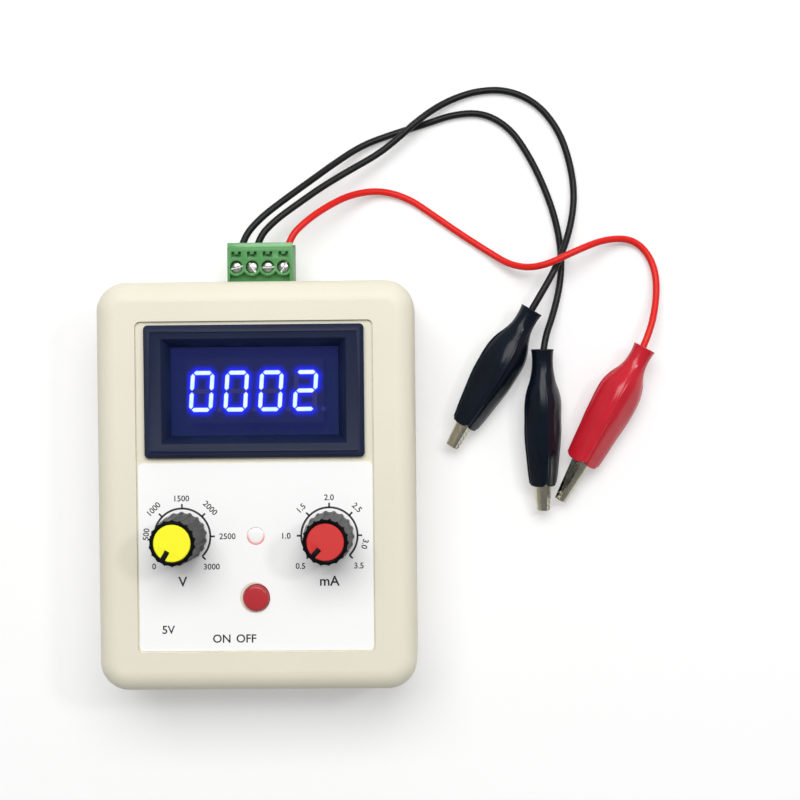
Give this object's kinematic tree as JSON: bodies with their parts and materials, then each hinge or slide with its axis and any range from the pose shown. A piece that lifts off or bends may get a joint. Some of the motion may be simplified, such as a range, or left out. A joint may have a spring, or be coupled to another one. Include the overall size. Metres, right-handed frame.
{
  "type": "component tester",
  "caption": "Handheld component tester in a flat moulded case with a digital panel meter, control knobs, push button and a plug-in terminal block with crocodile clip leads.",
  "frame": {"origin": "middle of the case's flat back, on the surface it lies on", "axes": "+Y along the case towards the terminal block, +Z out of the front face, +X to the right as it is read"},
  "size_m": [0.1271, 0.1361, 0.0424],
  "materials": {
    "case": "fine matte moulded",
    "film": "printed film",
    "black_plastic": "smooth",
    "window": "tinted clear",
    "display": "potted",
    "lit": "lit",
    "unlit": "unlit",
    "laminate": "solder mask",
    "steel": "zinc plated",
    "plated_cage": "tin plated",
    "pot_can": "moulded",
    "alloy": "turned",
    "yellow_cap": "smooth",
    "red_cap": "smooth",
    "button_red": "smooth",
    "clear_lens": "clear",
    "ferrite": "matte",
    "tape": "tape",
    "can_sleeve": "sleeved",
    "chip_epoxy": "moulded",
    "terminal_green": "moulded",
    "black_vinyl": "soft gloss",
    "red_vinyl": "soft gloss",
    "nickel": "nickel plated"
  },
  "bodies": {
    "case": {"front_cover": "case", "rear_cover": "case", "case_screws": "steel", "front_label": "film", "meter_bezel": "black_plastic", "meter_window": "window", "meter_display": "display", "lit_segments": "lit", "dark_segments": "unlit", "meter_board": "laminate", "meter_cable": "black_vinyl", "main_board": "laminate", "board_screws": "steel", "voltage_pot": "pot_can", "current_pot": "pot_can", "start_switch": "black_plastic", "power_switch": "steel", "usb_shell": "steel", "usb_tongue": "black_plastic", "indicator_lamp": "clear_lens", "transformer_core": "ferrite", "transformer_coil": "tape", "capacitors": "can_sleeve", "chips": "chip_epoxy", "terminal_header": "terminal_green", "header_pins": "plated_cage"},
    "voltage_control": {"voltage_pot_shaft": "alloy", "voltage_knob": "black_plastic", "voltage_knob_cap": "yellow_cap"},
    "current_control": {"current_pot_shaft": "alloy", "current_knob": "black_plastic", "current_knob_cap": "red_cap"},
    "button": {"start_button": "button_red"},
    "slider": {"power_slider": "black_plastic"},
    "lead_set": {"terminal_plug": "terminal_green", "plug_contacts": "plated_cage", "black_lead_1": "black_vinyl", "black_lead_2": "black_vinyl", "red_lead": "red_vinyl", "clip_pins": "steel", "left_clip_fixed_jaw": "nickel", "left_clip_spring": "nickel", "left_clip_boot": "black_vinyl", "middle_clip_fixed_jaw": "nickel", "middle_clip_spring": "nickel", "middle_clip_boot": "black_vinyl", "red_clip_fixed_jaw": "nickel", "red_clip_spring": "nickel", "red_clip_boot": "red_vinyl", "terminal_cage_1": "plated_cage", "terminal_cage_2": "plated_cage", "terminal_cage_3": "plated_cage", "terminal_cage_4": "plated_cage"},
    "clamp_screw_1": {"terminal_screw_1": "steel"},
    "clamp_screw_2": {"terminal_screw_2": "steel"},
    "clamp_screw_3": {"terminal_screw_3": "steel"},
    "clamp_screw_4": {"terminal_screw_4": "steel"},
    "left_clip_jaw": {"left_clip_moving_jaw": "nickel"},
    "middle_clip_jaw": {"middle_clip_moving_jaw": "nickel"},
    "red_clip_jaw": {"red_clip_moving_jaw": "nickel"}
  },
  "joints": [
    {"name": "voltage_turn", "type": "hinge", "parent": "case", "child": "voltage_control", "pos_m": [-0.0161, -0.01079, 0.035], "axis": [0, 0, 1], "range_deg": [-300, 0]},
    {"name": "current_turn", "type": "hinge", "parent": "case", "child": "current_control", "pos_m": [0.0161, -0.01079, 0.035], "axis": [0, 0, 1], "range_deg": [-288, 12]},
    {"name": "start_press", "type": "slide", "parent": "case", "child": "button", "axis": [0, 0, -1], "range_m": [0, 0.00035], "stiffness_N_per_m": 2000, "springref_m": -0.0006},
    {"name": "power_slide", "type": "slide", "parent": "case", "child": "slider", "axis": [1, 0, 0], "range_m": [0, 0.002]},
    {"name": "plug_pull", "type": "slide", "parent": "case", "child": "lead_set", "axis": [0, 1, 0], "range_m": [0, 0.012]},
    {"name": "clamp_1_turn", "type": "hinge", "parent": "lead_set", "child": "clamp_screw_1", "pos_m": [-0.00455, 0.0485, 0.018], "axis": [0, 0, 1], "range_deg": [0, 1080]},
    {"name": "clamp_2_turn", "type": "hinge", "parent": "lead_set", "child": "clamp_screw_2", "pos_m": [-0.00105, 0.0485, 0.018], "axis": [0, 0, 1], "range_deg": [0, 1080]},
    {"name": "clamp_3_turn", "type": "hinge", "parent": "lead_set", "child": "clamp_screw_3", "pos_m": [0.00245, 0.0485, 0.018], "axis": [0, 0, 1], "range_deg": [0, 1080]},
    {"name": "clamp_4_turn", "type": "hinge", "parent": "lead_set", "child": "clamp_screw_4", "pos_m": [0.00595, 0.0485, 0.018], "axis": [0, 0, 1], "range_deg": [0, 1080]},
    {"name": "left_clip_open", "type": "hinge", "parent": "lead_set", "child": "left_clip_jaw", "pos_m": [0.05171, 0.0215, 0.00484], "axis": [-0.7291, 0.4683, -0.499], "range_deg": [0, 22], "stiffness_Nm_per_rad": 0.05, "springref_deg": -34.38, "deforming": ["left_clip_boot", "left_clip_spring"]},
    {"name": "middle_clip_open", "type": "hinge", "parent": "lead_set", "child": "middle_clip_jaw", "pos_m": [0.0644, 0.00881, 0.00453], "axis": [-0.866, 0.0198, -0.4996], "range_deg": [0, 22], "stiffness_Nm_per_rad": 0.05, "springref_deg": -34.38, "deforming": ["middle_clip_boot", "middle_clip_spring"]},
    {"name": "red_clip_open", "type": "hinge", "parent": "lead_set", "child": "red_clip_jaw", "pos_m": [0.07634, 0.00906, 0.00472], "axis": [-0.5863, 0.2681, 0.7644], "range_deg": [0, 22], "stiffness_Nm_per_rad": 0.05, "springref_deg": -34.38, "deforming": ["red_clip_boot", "red_clip_spring"]}
  ]
}
